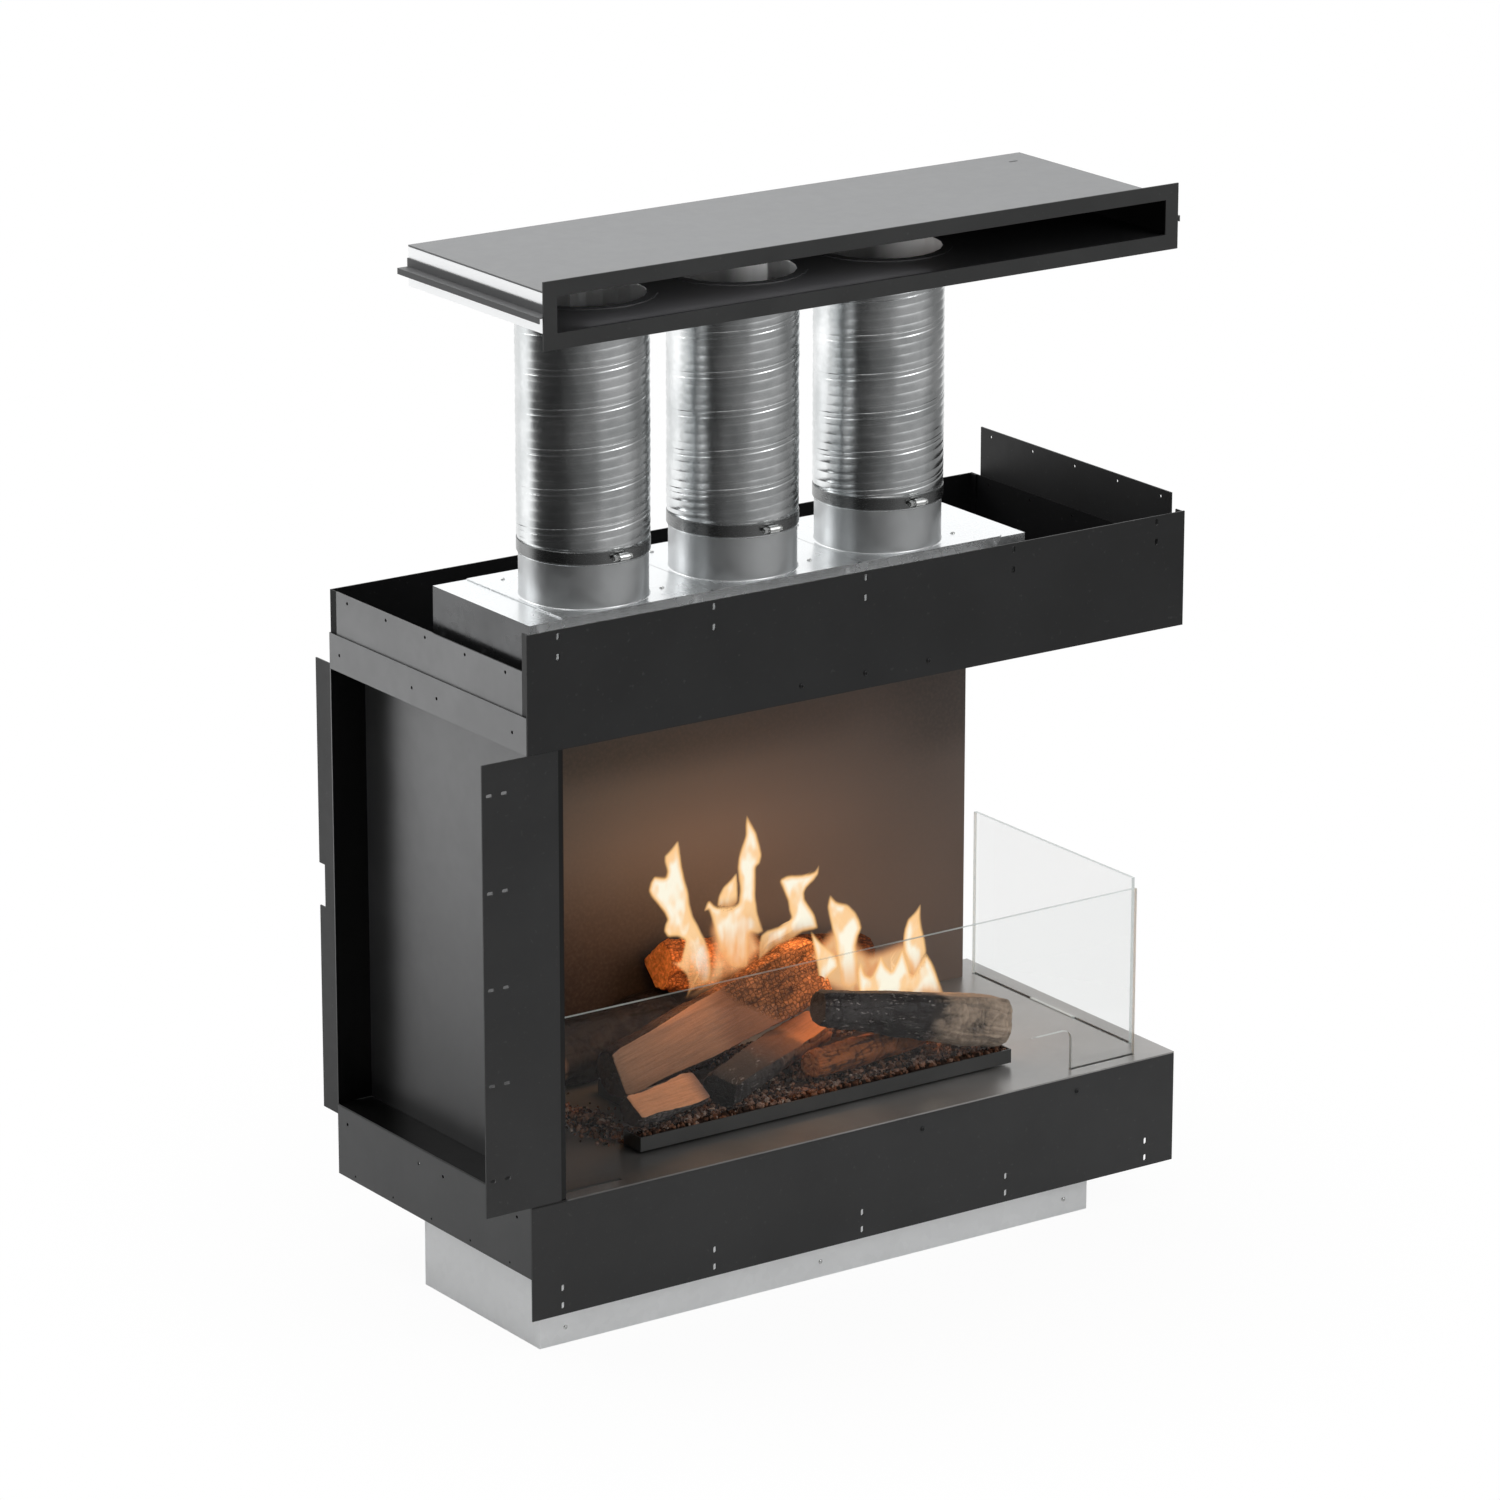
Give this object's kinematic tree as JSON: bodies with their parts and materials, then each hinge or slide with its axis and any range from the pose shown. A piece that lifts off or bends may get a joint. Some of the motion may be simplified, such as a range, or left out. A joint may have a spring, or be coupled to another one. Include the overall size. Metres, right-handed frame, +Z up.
{
  "type": "corner bioethanol fireplace",
  "caption": "Built-in corner bioethanol fireplace: folded steel casing open at front and side, glass screens, ceramic logs over a slot burner, and a ducted warm air outlet above.",
  "frame": {"origin": "under the middle of the whole outline, on the surface that the burner housing's bottom stands on", "axes": "+X along the front to the glazed open end, +Y from the front fascias to the back, +Z up"},
  "size_m": [1.0678, 0.5484, 1.375],
  "materials": {
    "painted_steel": "satin black powder coat",
    "firebox_steel": "matt heat-proof black paint",
    "outlet_grey": "satin grey",
    "galvanised_steel": "galvanised sheet",
    "stainless_steel": "brushed",
    "clamp_steel": "bright stainless",
    "aluminium_foil": "ribbed foil",
    "clear_glass": "clear toughened",
    "ceramic_wool": "fibre",
    "ember_chips": "loose vermiculite and chips",
    "log_bark": "painted ceramic bark",
    "log_split": "painted ceramic split wood",
    "log_char": "painted ceramic charred wood"
  },
  "bodies": {
    "casing": {"lower_front_fascia": "painted_steel", "lower_left_strip": "painted_steel", "lower_right_strip": "painted_steel", "lower_back_strip": "painted_steel", "hearth_plate": "painted_steel", "firebox_left_panel": "firebox_steel", "firebox_back_panel": "firebox_steel", "firebox_ceiling": "painted_steel", "front_left_trim_plate": "painted_steel", "rear_left_flange": "painted_steel", "upper_front_fascia": "painted_steel", "upper_back_strip": "painted_steel", "upper_left_strip": "painted_steel", "upper_left_flange": "painted_steel", "upper_right_strip": "painted_steel", "upper_right_flange": "painted_steel", "convection_hood": "galvanised_steel", "spigot_1": "galvanised_steel", "spigot_2": "galvanised_steel", "spigot_3": "galvanised_steel", "duct_1": "aluminium_foil", "duct_2": "aluminium_foil", "duct_3": "aluminium_foil", "lower_clamp_band_1": "clamp_steel", "lower_clamp_band_2": "clamp_steel", "lower_clamp_band_3": "clamp_steel", "upper_clamp_band_1": "clamp_steel", "upper_clamp_band_2": "clamp_steel", "upper_clamp_band_3": "clamp_steel", "outlet_box": "galvanised_steel", "outlet_top_plate": "outlet_grey", "outlet_frame": "painted_steel", "outlet_bracket_left": "galvanised_steel", "outlet_bracket_right": "galvanised_steel", "burner_housing": "galvanised_steel", "housing_hanger_left": "galvanised_steel", "housing_hanger_right": "galvanised_steel", "burner_tank": "stainless_steel", "burner_wool": "ceramic_wool", "burner_top_plate": "stainless_steel", "ember_tray": "painted_steel", "ember_bed": "ember_chips", "glass_channel_front": "galvanised_steel", "glass_channel_right": "galvanised_steel", "log_1": "log_bark", "log_2": "log_bark", "log_3": "log_bark", "log_4": "log_bark", "log_5": "log_bark", "log_6": "log_split", "log_7": "log_char"},
    "front_pane": {"glass_front": "clear_glass"},
    "right_pane": {"glass_right": "clear_glass"},
    "shutter": {"burner_shutter": "stainless_steel"},
    "lower_screw_1": {"lower_clamp_screw_1": "clamp_steel"},
    "lower_screw_2": {"lower_clamp_screw_2": "clamp_steel"},
    "lower_screw_3": {"lower_clamp_screw_3": "clamp_steel"},
    "upper_screw_1": {"upper_clamp_screw_1": "clamp_steel"},
    "upper_screw_2": {"upper_clamp_screw_2": "clamp_steel"},
    "upper_screw_3": {"upper_clamp_screw_3": "clamp_steel"}
  },
  "joints": [
    {"name": "glass_front_lift", "type": "slide", "parent": "casing", "child": "front_pane", "axis": [0, 0, 1], "range_m": [0, 0.03]},
    {"name": "glass_right_lift", "type": "slide", "parent": "casing", "child": "right_pane", "axis": [0, 0, 1], "range_m": [0, 0.03]},
    {"name": "burner_shutter_slide", "type": "slide", "parent": "casing", "child": "shutter", "axis": [0, 1, 0], "range_m": [0, 0.051]},
    {"name": "lower_clamp_screw_1_turn", "type": "hinge", "parent": "casing", "child": "lower_screw_1", "pos_m": [-0.3184, -0.19875, 0.9995], "axis": [1, 0, 0], "continuous": true},
    {"name": "lower_clamp_screw_2_turn", "type": "hinge", "parent": "casing", "child": "lower_screw_2", "pos_m": [-0.0979, -0.19875, 0.9995], "axis": [1, 0, 0], "continuous": true},
    {"name": "lower_clamp_screw_3_turn", "type": "hinge", "parent": "casing", "child": "lower_screw_3", "pos_m": [0.1226, -0.19875, 0.9995], "axis": [1, 0, 0], "continuous": true},
    {"name": "upper_clamp_screw_1_turn", "type": "hinge", "parent": "casing", "child": "upper_screw_1", "pos_m": [-0.3184, -0.19875, 1.2945], "axis": [1, 0, 0], "continuous": true},
    {"name": "upper_clamp_screw_2_turn", "type": "hinge", "parent": "casing", "child": "upper_screw_2", "pos_m": [-0.0979, -0.19875, 1.2945], "axis": [1, 0, 0], "continuous": true},
    {"name": "upper_clamp_screw_3_turn", "type": "hinge", "parent": "casing", "child": "upper_screw_3", "pos_m": [0.1226, -0.19875, 1.2945], "axis": [1, 0, 0], "continuous": true}
  ]
}
